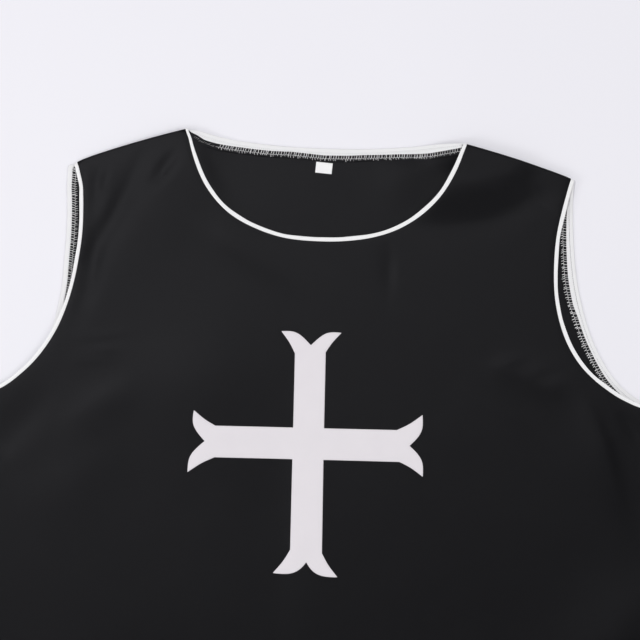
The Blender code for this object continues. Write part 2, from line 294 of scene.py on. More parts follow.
# %% Folds and creases of the front
Fold = namedtuple("Fold", "x y turn length width height bend lean", defaults=(0.0, 0.0))
BROAD_FOLDS = [
    Fold(-150, -42, 54, 62, 30, 1.2),
    Fold(190, -166, -24, 46, 26, 0.4),
    Fold(248, -241, -71, 56, 24, 1.4),
    Fold(-205, -272, 52, 64, 28, 1.3),
    Fold(-106, -190, 87, 54, 42, 2.5),
    Fold(278, -405, 45, 80, 46, 5.0),
    Fold(-190, -560, 97, 200, 44, 1.7),
    Fold(60, -690, 88, 210, 46, 1.7),
    Fold(230, -620, 81, 200, 42, 1.6),
    Fold(-80, -800, 99, 150, 42, 1.4),
    Fold(-270, -770, 98, 150, 34, 1.3),
]
CREASES = [
    # left shoulder: two troughs that run down towards the armhole and on beside its binding
    Fold(-179, -38, 65, 52, 9, -2.2, 2, -0.1),
    Fold(-139, -1, 55, 17, 6, -2.0),
    Fold(-191, -12, 60, 18, 6, 0.8),
    Fold(-197, -19, 82, 17, 6, -2.0),
    Fold(-199, -90, 84, 34, 8, -2.0, 3),
    # right shoulder: the raised seam falls into one shallow trough
    Fold(149, -40, 18, 50, 9, -1.2, 8, 0.05),
    # below the neck
    Fold(-76, -64, 58, 13, 40, 1.5, 0, -0.4),
    Fold(62, -86, 91, 24, 6, -1.0, 1, 0.3),
    # right chest and underarm
    Fold(166, -163, 12, 14, 12, 1.4, 0, -0.4),
    Fold(188, -171, 14, 15, 12, 1.2, 0, -0.4),
    Fold(208, -180, 12, 13, 12, 1.0, 0, -0.4),
    Fold(254, -238, 110, 48, 13, 1.7, 3, 0.4),
    Fold(278, -217, 124, 22, 6, -1.2, 0, 0.2),
    # left chest and underarm
    Fold(-257, -228, 50, 32, 15, -1.7, 0, 0.25),
    Fold(-190, -208, 38, 34, 16, 1.7, -3, -0.2),
    Fold(-181, -148, 11, 26, 4, 0.25, 1.5, 0.3),
    Fold(-185, -162, 6, 19, 4, 0.30, -1.5, 0.3),
    Fold(-194, -171, 5, 14, 4, 0.28, 0, 0.3),
    # beside the cross
    Fold(-26, -270, 88, 115, 26, -1.7, 0, 0.4),
    # skirt
    Fold(-130, -520, 94, 110, 15, -1.2, 8, 0.3),
    Fold(10, -610, 86, 130, 16, -1.1, -9, 0.3),
    Fold(150, -560, 80, 120, 14, -1.3, 8, -0.3),
    Fold(285, -500, 84, 110, 12, -1.0, 5, 0.3),
    Fold(-300, -520, 96, 100, 12, -1.0, -5, 0.3),
    Fold(-30, -850, 92, 80, 14, -1.0, 5, 0.2),
    Fold(140, -860, 84, 80, 13, -1.0, -4, 0.3),
    Fold(-170, -860, 101, 80, 13, -1.0, 4, -0.3),
    Fold(40, -440, 8, 90, 12, 0.6, 7, 0.3),
    Fold(-220, -505, 32, 60, 13, -0.8, 6, 0.3),
]
print("front folds:", len(BROAD_FOLDS), "broad,", len(CREASES), "creases")

# %% [markdown]
# Three measures make the height at any point: how far it is from an edge, how high the folds are there,
# and a smooth noise for the small waves that nobody could list. Blender's own noise gives the same value
# for the same place every time, so the cloth never changes between two runs.

# %% Tools for heights
MEASURE_STEP = 5.0
Wave = namedtuple("Wave", "height size seed")


def coarse(path):
    """An edge in fewer pieces, which is enough to measure from."""
    return path if len(path) < 3 else resample(path, MEASURE_STEP)


def distance(points, path):
    """Least distance from each point to a path of straight pieces."""
    best = np.full(len(points), 1e9)
    for a, b in zip(path[:-1], path[1:]):
        span = b - a
        share = np.clip((points - a) @ span / (span @ span), 0.0, 1.0)
        best = np.minimum(best, np.linalg.norm(points - a - share[:, None] * span, axis=1))
    return best


def fold_heights(points, folds):
    """Sum of the heights of all folds."""
    total = np.zeros(len(points))
    for fold in folds:
        turn = math.radians(fold.turn)
        offset = points - [fold.x, fold.y]
        along = offset @ [math.cos(turn), math.sin(turn)] / fold.length
        across = offset @ [-math.sin(turn), math.cos(turn)] - fold.bend * along ** 2
        width = fold.width * np.where(across > 0, 1.0 + fold.lean, 1.0 - fold.lean)
        total += fold.height * np.exp(-along ** 2 - (across / width) ** 2)
    return total


def ripple(points, size, seed):
    """Smooth noise from -1 to 1, with waves of about the given size."""
    return np.array([noise.noise(Vector((p[0] / size, p[1] / size, seed))) for p in points])


def waves(points, rows):
    """Sum of several noises."""
    return sum(row.height * ripple(points, row.size, row.seed) for row in rows)


middles = np.array([(fold.x, fold.y) for fold in CREASES], float)
print("deepest trough, mm:", fold_heights(middles, CREASES).min().round(2))

# %% [markdown]
# The shoulder seams are springy and hold the cloth a little off the surface. On the right it falls from
# the raised part along one slanting line, and further out it runs off slowly. At the right tip and the
# left neck point it stands up in a round rise.

# %% Raised shoulder seams
Lift = namedtuple("Lift", "x y turn height run bend")
RIGHT_LIFT = Lift(142.0, -16.5, 19.0, 6.0, 40.0, 6.0)
TIP_LIFT = Lift(217.8, 0.7, 0.0, 1.0, 85.0, 0.0)
LEFT_LIFT = Lift(-121.0, 34.3, 0.0, 3.0, 110.0, 0.0)
LIFT_BEND_RUN = 48.0
LIFT_START, LIFT_START_RUN = -85.0, 40.0
WIDER, WIDER_FROM, WIDER_RUN = 3.0, 40.0, 26.0


def around(points, row):
    """A round rise about one point, with an easy top."""
    return row.height * fade(np.linalg.norm(points - [row.x, row.y], axis=1) / row.run)


def front_lift(points):
    """How far the seams hold the front off the surface."""
    row, turn = RIGHT_LIFT, math.radians(RIGHT_LIFT.turn)
    offset = points - [row.x, row.y]
    along = offset @ [math.cos(turn), math.sin(turn)]
    across = offset @ [-math.sin(turn), math.cos(turn)] - row.bend * (along / LIFT_BEND_RUN) ** 2
    run = row.run * (1.0 + WIDER * ease((along - WIDER_FROM) / WIDER_RUN))
    step = row.height * ease(across / run + 0.5) * ease((along - LIFT_START) / LIFT_START_RUN)
    return step + around(points, TIP_LIFT) + around(points, LEFT_LIFT)


neck_points = np.array([FRONT["neck"][-1], FRONT["neck"][0]])
print("lift at the left and right neck point, mm:", front_lift(neck_points).round(2).tolist())

# %% [markdown]
# Now the heights are added up. Folds and waves die away at the seams, which hold the cloth down. The
# panel is drawn down where the binding is sewn on, with small puckers beside the stitches. Seams roll
# over their edge, and the hem is three layers thick.

# %% Height of the front cloth
CLOTH = 0.5
FRONT_EDGE_TOP = 2.3
LOFT, LOFT_RUN, SHOULDER_RUN = 1.5, 10.0, 36.0
JOINED = ("side_right", "shoulder_right", "shoulder_left", "side_left", "hem")
BOUND = ("neck", "armhole_right", "armhole_left")
SMALL_WAVES = [Wave(0.22, 46.0, 1.7), Wave(0.08, 17.0, 4.1)]
TRIM_DIP, TRIM_RUN = 0.30, 3.0
PUCKERS, PUCKER_RUN = [Wave(0.11, 6.5, 9.3)], 14.0
ROLL, ROLL_RUN = 0.8, 1.2
HEM_DEEP = 20.0
HEM_THICK, HEM_STEP_RUN, HEM_EDGE_RUN = 0.45, 2.5, 4.0


def front_top(points):
    """Height of the front cloth's upper side."""
    points = np.asarray(points, float).reshape(-1, 2)
    away = {name: distance(points, coarse(path)) for name, path in FRONT.items()}
    seam = np.min([away[name] for name in JOINED], axis=0)
    trim = np.min([away[name] for name in BOUND], axis=0)
    free = ease(seam / (2.0 * LOFT_RUN))
    runs = {name: SHOULDER_RUN if name.startswith("shoulder") else LOFT_RUN for name in JOINED}
    height = FRONT_EDGE_TOP + LOFT * np.min([ease(away[name] / runs[name]) for name in JOINED], axis=0)
    height += fold_heights(points, BROAD_FOLDS) * free
    height += fold_heights(points, CREASES) * free
    height += waves(points, SMALL_WAVES) * free
    height -= TRIM_DIP * fade(trim / TRIM_RUN)
    height += waves(points, PUCKERS) * fade(trim / PUCKER_RUN) * free
    height -= ROLL * fade(seam / ROLL_RUN)
    height += HEM_THICK * fade((away["hem"] - HEM_DEEP) / HEM_STEP_RUN) * ease(away["hem"] / HEM_EDGE_RUN)
    return height + front_lift(points)


probe = front_top([(-150.0, -42.0), (134.0, -18.0), (0.0, -500.0), (0.0, HEM_Y)])
print("front heights at shoulder folds, skirt and hem, mm:", probe.round(2).tolist())

# %% [markdown]
# ## Panels of cloth
#
# Each panel is a fine sheet: a lattice of points inside the cut, rings that follow its edges, and
# triangles through all of them. A grid of squares would be simpler, but its rows can't follow a round
# neck, and the seams are where the eye looks first.

# %% Points in an outline
ROW_SHARE = 0.87


def inside(points, ring):
    """True for each point that lies in a closed outline."""
    a, b = ring, np.roll(ring, -1, axis=0)
    odd = np.zeros(len(points), bool)
    for (ax, ay), (bx, by) in zip(a, b):
        if ay != by:
            spans = (ay > points[:, 1]) != (by > points[:, 1])
            odd ^= spans & (points[:, 0] < ax + (points[:, 1] - ay) / (by - ay) * (bx - ax))
    return odd


def lattice(ring, step):
    """Staggered rows of points over the box of an outline."""
    low, high = ring.min(0), ring.max(0)
    rows = []
    for k, y in enumerate(np.arange(low[1], high[1], step * ROW_SHARE)):
        x = np.arange(low[0], high[0], step) + 0.5 * step * (k % 2)
        rows.append(np.column_stack([x, np.full(len(x), y)]))
    return np.vstack(rows)


square = np.array([(0.0, 0.0), (30.0, 0.0), (30.0, 30.0), (0.0, 30.0)])
print("points in a square of 30 mm, 3 mm apart:", inside(lattice(square, 3.0), square).sum())

# %% [markdown]
# Blender can draw a net of triangles through any points inside a border, and it avoids thin slivers
# wherever it can. No lattice point may lie too close to a ring, or slivers would come after all.

# %% Sheets of triangles
CURVE_STEP = 3.0
LINE_STEP = 5.0
RING_CLEAR = 0.93
GRID_CLEAR = 0.55


def fill(ring, step, offsets, fine=None):
    """Triangles in an outline: rings at the given offsets from its edge, then a lattice. Above the height
    that fine gives, the lattice has fine's step."""
    closed = np.vstack([ring, ring[:1]])
    extra = []
    for offset in offsets:
        band = ring - normals(closed)[:-1] * offset
        band = band[inside(band, ring)]
        extra.append(band[distance(band, closed) > RING_CLEAR * offset])
    grids = [(step, lattice(ring, step))]
    if fine:
        level, fine_step = fine
        wide, close = lattice(ring, step), lattice(ring, fine_step)
        grids = [(step, wide[wide[:, 1] < level - step]), (fine_step, close[close[:, 1] >= level])]
    for gap, grid in grids:
        grid = grid[inside(grid, ring)]
        extra.append(grid[distance(grid, closed) > max(offsets) + GRID_CLEAR * gap])
    points = np.vstack([ring, *extra])
    border = [(k, (k + 1) % len(ring)) for k in range(len(ring))]
    # the 1 keeps the triangles inside the outline and drops the others
    verts, _, faces, *_ = delaunay_2d_cdt([Vector(p) for p in points], border, [], 1, 1e-6)
    return np.array([tuple(v) for v in verts]), [tuple(f) for f in faces]


def outline(edges, curve_step, line_step):
    """One closed ring of points from a panel's edges."""
    steps = {name: curve_step if name in BOUND else line_step for name in edges}
    return np.vstack([resample(path, steps[name])[:-1] for name, path in edges.items()])


print("points round the front's edge:", len(outline(FRONT, CURVE_STEP, LINE_STEP)))

# %% [markdown]
# The same sheet moved down by half a millimetre closes it, so the edge has the thickness of real cloth.
# A Solidify modifier would do that too, but then the lower side couldn't have heights of its own.


# %% Walls of cloth
def add_object(name, data):
    """An object that shows a mesh, a lamp or a camera, put into the scene."""
    made = bpy.data.objects.new(name, data)
    bpy.context.scene.collection.objects.link(made)
    return made


def add_piece(name, verts, faces):
    """One mesh, given in draft millimetres, placed in the part's frame and riding on it."""
    points = np.array(verts, float)
    points[:, :2] += SHIFT
    mesh = bpy.data.meshes.new(name)
    mesh.from_pydata((points * MM).tolist(), [], faces)
    mesh.polygons.foreach_set("use_smooth", np.full(len(mesh.polygons), True))
    mesh.update()
    piece = add_object(name, mesh)
    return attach(piece, "root")


def wall(name, flat, faces, low, high):
    """Closes a sheet: its upper side, its lower side and a rim."""
    count = len(flat)
    top = [tuple(k + count for k in f) for f in faces]
    bottom = [tuple(reversed(f)) for f in faces]
    sides = {(f[k], f[(k + 1) % len(f)]) for f in faces for k in range(len(f))}
    rim = [(a, b, b + count, a + count) for a, b in sorted(sides) if (b, a) not in sides]
    verts = np.vstack([np.column_stack([flat, low]), np.column_stack([flat, high])])
    return add_piece(name, verts, top + bottom + rim)


def cloth_area(piece):
    """Area of one side of a thin wall."""
    return sum(p.area for p in piece.data.polygons) / 2.0


# %% [markdown]
# The front is what the eye reads first, so its points lie close together above the waist, where the
# camera looks, and wider apart in the skirt. Three rings of points beside the edge carry the rolled seam
# and the dip under the binding.

# %% Front panel
PANEL_STEP = 6.0
FRONT_RINGS = (0.9, 2.0, 4.4)
FINE = (-400.0, 3.2)
flat, faces = fill(outline(FRONT, CURVE_STEP, LINE_STEP), PANEL_STEP, FRONT_RINGS, fine=FINE)
top = front_top(flat)
front_cloth = wall("front_cloth", flat, faces, top - CLOTH, top)
print("front cloth:", len(faces) * 2, "triangles,", round(cloth_area(front_cloth), 3), "m2")

# %% [markdown]
# The back lies on the surface, so its underside is flat but for a few creases: up to three millimetres
# high beside the neck, where its upper side shows, and lower elsewhere. It hangs from the same raised
# shoulder seams as the front. It falls from them and from the neck edge beside them, which comes down to
# the surface on its way to the middle.

# %% Height of the back cloth
NECK_RUN, BACK_HOLD, BACK_FALL = 46.0, 3.0, 20.0
BACK_WAVE, BACK_FREE = Wave(0.12, 40.0, 6.6), 16.0
BACK_EDGE, BACK_EDGE_RUN = 0.4, 2.5
BACK_CREASES = [
    Fold(70, 4, 66, 28, 21, 2.2, 0, -0.2),
    Fold(-20, -14, 20, 60, 26, 0.6),
    Fold(-107, 0, -62, 34, 8.5, 3.4),
    Fold(-160, -120, 60, 90, 14, 0.5, 8, 0.3),
    Fold(170, -150, 118, 90, 14, 0.5, -8, 0.3),
    Fold(-20, -300, 86, 130, 18, 0.5, 9, 0.3),
    Fold(-210, -480, 98, 150, 16, 0.5, 8, -0.3),
    Fold(210, -520, 83, 150, 16, 0.5, -8, 0.3),
    Fold(60, -690, 91, 150, 17, 0.5, 7, 0.3),
    Fold(-90, -760, 95, 130, 16, 0.5, -7, 0.3),
    Fold(-290, -800, 97, 110, 14, 0.5, 5, 0.3),
    Fold(280, -820, 84, 110, 14, 0.5, 5, -0.3),
]


def back_lift(points):
    """How far the raised seams hold the back off the surface."""
    total = np.zeros(len(points))
    neck = distance(points, coarse(BACK["neck"]))
    for name in ("shoulder_right", "shoulder_left"):
        seam = FRONT[name][np.argsort(FRONT[name][:, 0])]
        x = np.clip(points[:, 0], seam[0, 0], seam[-1, 0])
        held = front_lift(np.column_stack([x, np.interp(x, seam[:, 0], seam[:, 1])]))
        held *= fade(np.abs(points[:, 0] - x) / NECK_RUN)
        away = np.minimum(distance(points, coarse(FRONT[name])), neck)
        total += held * fade((away - BACK_HOLD) / BACK_FALL)
    return total


def back_under(points):
    """Height of the back cloth's lower side."""
    points = np.asarray(points, float).reshape(-1, 2)
    seam = np.min([distance(points, coarse(path)) for path in BACK.values()], axis=0)
    small = BACK_WAVE.height * (1.0 + ripple(points, BACK_WAVE.size, BACK_WAVE.seed))
    lift = (fold_heights(points, BACK_CREASES) + small) * ease(seam / BACK_FREE)
    return lift + BACK_EDGE * fade(seam / BACK_EDGE_RUN) + back_lift(points)


print("back at the same neck points, mm:", back_under(neck_points).round(2).tolist())

# %% [markdown]
# The back is one plain sheet. Little of it shows, so its points lie wider apart than the front's.

# %% Back panel
BACK_THICK = 0.6
BACK_STEP = 7.0
BACK_RINGS = (1.6, 4.6)
flat, faces = fill(outline(BACK, CURVE_STEP, BACK_STEP), BACK_STEP, BACK_RINGS)
under = back_under(flat)
back_cloth = wall("back_cloth", flat, faces, under, under + BACK_THICK)
print("back cloth:", len(faces) * 2, "triangles,", round(cloth_area(back_cloth), 3), "m2")

# %% [markdown]
# ## Binding
#
# The binding is a strip of white cloth folded over and caught in the seam, so it stands a little proud
# of the panel with a soft round edge. A curve with a bevel would do on a straight run, but the strip
# has to follow the panel's rise and fall and end along the shoulder seam. So a rounded section is
# carried along the edge, point by point, with small changes of height where the stitches pull.

# %% Paths along an edge
STRIP_STEP = 2.0
BLEND_RUN = 4
SEAM_ENDS = {
    "neck": (("shoulder_right", 1.0), ("shoulder_left", -1.0)),
    "armhole_right": (("side_right", 1.0), ("shoulder_right", -1.0)),
    "armhole_left": (("shoulder_left", 1.0), ("side_left", -1.0)),
}


def edge_path(edges, name):
    """Points along an edge and the way out of the panel, which at the ends runs on along the seams."""
    path = resample(edges[name], STRIP_STEP)
    ways = normals(path)
    for end, (seam, sign) in zip((0, -1), SEAM_ENDS[name]):
        run = edges[seam]
        way = run[-1] - run[-2] if sign > 0 else run[0] - run[1]
        way = way / np.linalg.norm(way)
        for k in range(BLEND_RUN):
            at = k if end == 0 else -1 - k
            mixed = way * (1.0 - k / BLEND_RUN) + ways[at] * (k / BLEND_RUN)
            ways[at] = mixed / np.linalg.norm(mixed)
    return path, ways


print("points along the front neck:", len(edge_path(FRONT, "neck")[0]))

# %% [markdown]
# The section is a flat oval with nearly square corners, given as a ring of points. One ring is set at
# each point of the path, and faces join it to the next ring and close both ends.


# %% Sections carried along a path
def rounded_section(start, width, height, sharp=2.6, count=14):
    """Closed outline of a flat strip with round edges: distance out of the panel, and height.
    Start and width may be one value or one for each point of a path."""
    start, width = (np.asarray(v, float)[..., None] for v in (start, width))
    turn = np.arange(count) * 2.0 * math.pi / count
    c, s = np.cos(turn), np.sin(turn)
    out = start + width / 2.0 * (1.0 + np.sign(c) * np.abs(c) ** (2.0 / sharp))
    up = height / 2.0 * (1.0 + np.sign(s) * np.abs(s) ** (2.0 / sharp))
    return np.stack([out, np.broadcast_to(up, out.shape)], axis=-1)


def skin(rings, sides, turned=False):
    """Faces round a row of rings of points, and over its two ends."""
    faces = []
    for r in range(rings - 1):
        for k in range(sides):
            a, b = r * sides + k, r * sides + (k + 1) % sides
            if turned:
                a, b = b, a
            faces.append((a, b, b + sides, a + sides))
    first = tuple(reversed(range(sides)))
    last = tuple((rings - 1) * sides + k for k in range(sides))
    return faces + [end[::-1] if turned else end for end in (first, last)]


def sweep(name, path, ways, base, section):
    """Carries a section, with one outline for each point, along a path."""
    flat = path[:, None] + ways[:, None] * section[..., :1]
    verts = np.concatenate([flat, (base[:, None] + section[..., 1])[..., None]], axis=2)
    return add_piece(name, verts.reshape(-1, 3), skin(len(path), section.shape[1], turned=True))


print("points round one section:", len(rounded_section(0.0, 3.6, 1.35)))

# %% [markdown]
# Six strips are made this way: neck and two armholes, for the front and for the back. The front's stand on
# the panel's edge and change a little in width, as hand-guided strips do. The back's lie low on the
# surface. Towards the neck points the strips are drawn narrower or turned under.

# %% Bindings of the front and the back
BINDING = {"neck": 3.6, "armhole_left": 3.3, "armhole_right": 3.4}
NODE_NAMES = {"neck": "neck_{}_{}", "armhole_left": "armhole_{}_{}_left",
              "armhole_right": "armhole_{}_{}_right"}
Taper = namedtuple("Taper", "less run")
Trim = namedtuple("Trim", "start height neck_tapers")
TRIMS = {
    "front": Trim(-0.1, 1.35, (Taper(0.5, 40.0), Taper(1.3, 45.0))),
    "back": Trim(-0.4, 0.85, (Taper(2.0, 28.0), Taper(3.1, 13.0))),
}
FRONT_SUNK = 0.75
BACK_UP, BACK_WIDER = 0.05, 0.3


def pucker(path, seed):
    """Small changes of height along a sewn edge."""
    return waves(path, [Wave(0.07, 5.0, seed), Wave(0.10, 19.0, seed + 2.0)])


def tapered(wide, path, tapers):
    """A strip's width, made less towards the start and the end of its path."""
    along = lengths(path)
    start, end = tapers
    return wide - start.less * fade(along / start.run) - end.less * fade((along[-1] - along) / end.run)


def add_binding(layer, edge, path, ways, base, wide):
    """One strip, put in place of its solid."""
    trim = TRIMS[layer]
    if edge == "neck":
        wide = tapered(wide, path, trim.neck_tapers)
    section = rounded_section(trim.start, wide, trim.height)
    strip = sweep(f"{edge}_binding_{layer}_strip", path, ways, base, section)
    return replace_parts(strip, NODE_NAMES[edge].format("binding", layer))


front_trims, back_trims = [], []
for seed, edge in enumerate(NODE_NAMES):
    path, ways = edge_path(FRONT, edge)
    base = front_top(path) - FRONT_SUNK + pucker(path, 3.0 + seed)
    wide = BINDING[edge] + waves(path, [Wave(0.5, 21.0, 11.0 + seed)])
    front_trims.append(add_binding("front", edge, path, ways, base, wide))
    path, ways = edge_path(BACK, edge)
    base = BACK_UP + np.abs(pucker(path, 7.0 + seed)) + back_lift(path)
    wide = np.full(len(path), BINDING[edge] + BACK_WIDER)
    back_trims.append(add_binding("back", edge, path, ways, base, wide))
bindings = front_trims + back_trims
print("binding strips:", len(bindings), " faces:", sum(len(b.data.polygons) for b in bindings))

# %% [markdown]
# ## Overlocked seam allowances
#
# Inside the back neck and armholes the seam's spare cloth is turned down: first a narrow white band,
# the binding's own edge, then the black edge, which is overlocked. Overlocking is a row of white thread
# over the raw edge: upright ticks side by side, a needle line below them and loose loops round the cut.
# A texture could hint at it, but close up the loops have depth, so each thread is a thin tube and each
# edge's threads are one mesh.


# %% Threads as tubes
def tube(points, radius, sides=5):
    """Vertices and faces of a round thread along a path in space, closed at its ends."""
    way = directions(points)
    flat = np.cross(way, [0.0, 0.0, 1.0])
    flat /= np.maximum(np.linalg.norm(flat, axis=1)[:, None], 1e-9)
    lift = np.cross(flat, way)
    turn = np.arange(sides) * 2.0 * math.pi / sides
    rings = points[:, None] + radius * (np.cos(turn)[None, :, None] * flat[:, None]
                                        + np.sin(turn)[None, :, None] * lift[:, None])
    return rings.reshape(-1, 3), skin(len(points), sides)


def join_tubes(name, threads):
    """One mesh of many threads, each given as its path and its radius."""
    verts, faces, count = [], [], 0
    for path, radius in threads:
        v, f = tube(np.asarray(path, float), radius)
        verts.append(v)
        faces += [tuple(k + count for k in face) for face in f]
        count += len(v)
    return add_piece(name, np.vstack(verts), faces)


class Beside:
    """Places beside an edge, from the distance along it and the distance out of it."""

    def __init__(self, path, ways, heights):
        self.path, self.ways, self.heights = path, ways, heights
        self.along = lengths(path)
        self.total = self.along[-1]

    def __call__(self, at, out, up):
        mid = np.stack([np.interp(at, self.along, self.path[:, k]) for k in (0, 1)], axis=-1)
        way = np.stack([np.interp(at, self.along, self.ways[:, k]) for k in (0, 1)], axis=-1)
        high = np.interp(at, self.along, self.heights) + up
        return np.column_stack([mid + way * np.broadcast_to(out, np.shape(at))[:, None], high])


print("faces of one short thread:", len(tube(np.array([(0.0, 0.0, 0.0), (1.0, 0.0, 0.0)]), 0.1)[1]))

# %% [markdown]
# The white band is trimmed by eye, so its width changes; its tables give pairs of a share of the edge's
# length and a width. No two ticks are alike either: a size in brackets is a middle value and a spread.

# %% Sizes of the overlocking
BAND_WIDE = {
    "neck": [
        (0.0, 2.2), (0.08, 3.0), (0.12, 3.5), (0.18, 2.8), (0.23, 2.0), (0.35, 1.5), (0.42, 2.1),
        (0.50, 2.4), (0.56, 1.3), (0.62, 0.6), (0.70, 1.4), (0.80, 1.7), (0.90, 2.8), (0.94, 2.6),
        (0.965, 0.9), (1.0, 0.1)],
    "armhole_left": [(0.0, 0.9), (0.40, 1.0), (1.0, 1.0)],
    "armhole_right": [
        (0.0, 1.7), (0.25, 2.2), (0.35, 1.8), (0.50, 2.6), (0.55, 4.0), (0.65, 4.1), (0.72, 3.5),
        (0.80, 2.8), (0.90, 1.9), (1.0, 1.6)],
}
TICK = {"neck": 2.2, "armhole_left": 2.1, "armhole_right": 2.2}
THREAD = {"neck": 0.26, "armhole_left": 0.25, "armhole_right": 0.23}
Loop = namedtuple("Loop", "reach spread radius")
LOOP = {"neck": Loop(1.5, 0.5, 0.20), "armhole_left": Loop(2.3, 0.5, 0.18),
        "armhole_right": Loop(1.9, 0.35, 0.32)}
TICK_CLEAR, PLACE_SPREAD, LOOP_PLACE_SPREAD = 0.15, 0.12, 0.25
THICKNESS, SLANT, TICK_LONG = (1.0, 0.16), (0.35, 0.15), (2.7, 0.3)
TICK_SHARES, TICK_UP = np.array([0.0, 0.3, 0.7, 1.0]), np.array([0.30, 0.55, 0.55, 0.35])
LOOP_SHARES, LOOP_UP = np.array([0.0, 0.5, 1.0]), np.array([0.45, 0.50, 0.20])
LOOP_LEAST, LOOP_SLANT = 0.5, 0.3
SUNK, SUNK_RUN = 0.55, 36.0
NECK_PLAIN = 24.0
ENDS_STOP, ENDS_PITCH = 5.0, 0.8
ENDS_BELOW, ENDS_SPREAD, ENDS_REACH, ENDS_UP, ENDS_RADIUS = 1.6, 0.9, 0.7, 0.40, 0.08
NEEDLE, NEEDLE_UP, NEEDLE_RADIUS, NEEDLE_WAVE, NEEDLE_STEP = 3.0, 0.52, 0.14, 0.14, 0.5
print("ticks in 100 mm of the neck:", round(100.0 / TICK["neck"]))

# %% [markdown]
# A seeded random generator draws from each spread, so the threads are uneven but the same in every run.
# The thread sinks into the cloth towards the right neck point, and at the left one only the ends of a
# few thin loops show.


# %% Overlocking
def band_width(edge, at, total):
    """Width of the white band at a distance along its edge."""
    shares, widths = np.array(BAND_WIDE[edge]).T
    return np.interp(np.asarray(at) / total, shares, widths)


def overlock(edge, place):
    """Threads over one raw edge: ticks, loops round the cut and the needle line between them."""
    rng = np.random.default_rng(5 + len(edge))

    def about(middle, spread):
        return middle + spread * rng.standard_normal()

    pitch, threads = TICK[edge], []
    plain = NECK_PLAIN if edge == "neck" else 0.0
    for k in range(1, int((place.total - plain) / pitch) - 1):
        at = pitch * about(k, PLACE_SPREAD)
        near = -band_width(edge, at, place.total) - TICK_CLEAR
        uneven = about(*THICKNESS)
        if edge == "neck":
            uneven *= SUNK + (1.0 - SUNK) * ease(at / SUNK_RUN)
        slant = about(*SLANT)
        long = about(*TICK_LONG)
        tick = place(at + slant * TICK_SHARES, near - long * TICK_SHARES, TICK_UP)
        threads.append((tick, THREAD[edge] * uneven))
        reach = max(about(LOOP[edge].reach, LOOP[edge].spread), LOOP_LEAST)
        loop_at = about(at + 0.5 * pitch, LOOP_PLACE_SPREAD)
        loop = place(loop_at - LOOP_SLANT * LOOP_SHARES, near - NEEDLE - reach * LOOP_SHARES, LOOP_UP)
        threads.append((loop, LOOP[edge].radius * uneven))
    for at in np.arange(place.total - plain, place.total - ENDS_STOP, ENDS_PITCH * pitch):
        near = -band_width(edge, at, place.total) - ENDS_BELOW - ENDS_SPREAD * rng.random()
        reach = LOOP_SHARES * (ENDS_REACH + ENDS_REACH * rng.random())
        threads.append((place(at + reach, near - reach, np.full(len(reach), ENDS_UP)), ENDS_RADIUS))
    at = np.arange(1.0, place.total - plain - 1.0, NEEDLE_STEP)
    near = -band_width(edge, at, place.total) - NEEDLE
    wave = NEEDLE_WAVE * np.sin(2.0 * math.pi * at / pitch)
    threads.append((place(at, near + wave, NEEDLE_UP + wave), NEEDLE_RADIUS))
    return threads


print("white band at the middle of the neck, mm:", band_width("neck", 0.5, 1.0))

# %% [markdown]
# Band and allowance are laid side by side on the back's upper side, with the threads on top of them.
# Short stitches hold the band along the seam itself. Their thread is white on the white band, but it is
# made grey as painted shade, for the small shadows in the stitches' dips.

# %% Allowances, white bands and overlock threads
ALLOWANCE_WIDE = 6.0
ALLOWANCE_HIGH, ALLOWANCE_SUNK = 0.35, 0.05
BAND_HIGH, BAND_SUNK = 0.55, 0.15
BAND_UNDER, BAND_EXTRA = 0.2, 0.7
FLAT_STRIP = {"sharp": 3.0, "count": 10}
INTO_PANEL = 4.0
STITCH_PITCH, STITCH_RADIUS = 1.7, 0.17
STITCH_OUT, STITCH_UP = np.array([-0.1, -0.5, -0.9]), np.array([0.30, 0.45, 0.30])
allowances, bands, loops, seam_stitches = [], [], [], []
for edge, label in NODE_NAMES.items():
    path = resample(BACK[edge], STRIP_STEP)
    path, ways = path[2:-2], normals(path)[2:-2]
    wide = band_width(edge, lengths(path), lengths(path)[-1])
    heights = back_under(path + ways * -INTO_PANEL) + BACK_THICK
    section = rounded_section(-wide - BAND_UNDER, wide + BAND_EXTRA, BAND_HIGH, **FLAT_STRIP)
    bands.append(sweep(edge + "_inner_band", path, ways, heights - BAND_SUNK, section))
    section = rounded_section(-wide - ALLOWANCE_WIDE, ALLOWANCE_WIDE, ALLOWANCE_HIGH, **FLAT_STRIP)
    strip = sweep(edge + "_allowance", path, ways, heights - ALLOWANCE_SUNK, section)
    allowances.append(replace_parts(strip, label.format("seam_allowance", "back")))
    place = Beside(path, ways, heights)
    loops.append(join_tubes(edge + "_overlock_thread", overlock(edge, place)))
    dashes = [(place(np.full(3, at), STITCH_OUT, STITCH_UP), STITCH_RADIUS)
              for at in np.arange(1.0, place.total - 1.0, STITCH_PITCH)]
    seam_stitches.append(join_tubes(edge + "_seam_stitches", dashes))
print("overlock threads:", sum(len(t.data.polygons) for t in loops), "faces")

# %% [markdown]
# ## Size tag
#
# A short piece of woven tape is caught under the overlocking below the back neck. It is bare. Its free
# end curls up a little, so it is a small bent sheet and not a plate.

